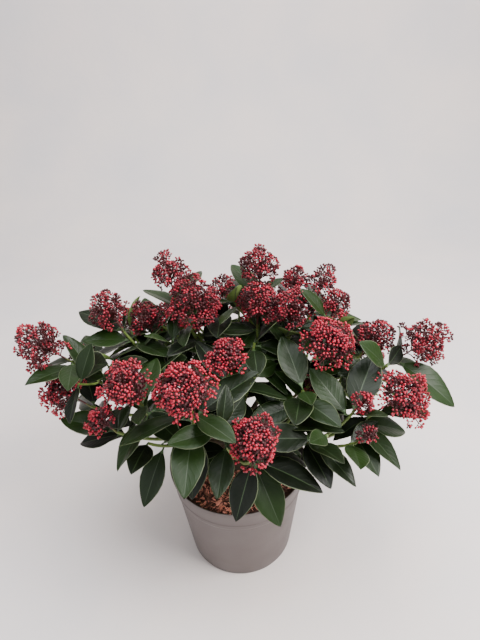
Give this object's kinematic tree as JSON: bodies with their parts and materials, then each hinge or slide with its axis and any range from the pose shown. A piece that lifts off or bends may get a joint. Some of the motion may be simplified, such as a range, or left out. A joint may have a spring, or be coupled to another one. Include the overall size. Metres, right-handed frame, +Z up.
{
  "type": "potted rubella japanese skimmia",
  "caption": "Rounded evergreen shrub with whorled oval leaves and domed panicles of red flower buds, in a tapered round nursery pot of bark soil.",
  "frame": {"origin": "middle of the flat underside of the pot", "axes": "+Z up along the pot's axis, +X to the right along the crown's widest way, -Y towards the front"},
  "size_m": [0.5946, 0.4344, 0.4744],
  "materials": {
    "pot": "thin taupe-grey moulded plastic, satin",
    "soil": "red-brown fibrous bark chips, matt",
    "bark": "tan bark, finely fissured",
    "foliage": "leathery dark green leaves with a soft sheen, and red flower buds"
  },
  "bodies": {
    "root": {"bough_back": "bark", "bough_back_high": "bark", "bough_back_left": "bark", "bough_back_right": "bark", "bough_front": "bark", "bough_front_left": "bark", "bough_front_right": "bark", "bough_left_far": "bark", "bough_left_front": "bark", "bough_left_high": "bark", "bough_right_back": "bark", "bough_right_front": "bark", "bough_right_mid": "bark", "bough_top": "bark", "bough_top_left": "bark", "bough_top_right": "bark", "foliage_back": "foliage", "foliage_back_high": "foliage", "foliage_back_left": "foliage", "foliage_back_right": "foliage", "foliage_centre": "foliage", "foliage_front": "foliage", "foliage_front_left": "foliage", "foliage_front_right": "foliage", "foliage_left_far": "foliage", "foliage_left_front": "foliage", "foliage_left_high": "foliage", "foliage_right_back": "foliage", "foliage_right_front": "foliage", "foliage_right_mid": "foliage", "foliage_top": "foliage", "foliage_top_left": "foliage", "foliage_top_right": "foliage", "pot": "pot", "soil": "soil", "trunk": "bark"}
  },
  "joints": []
}
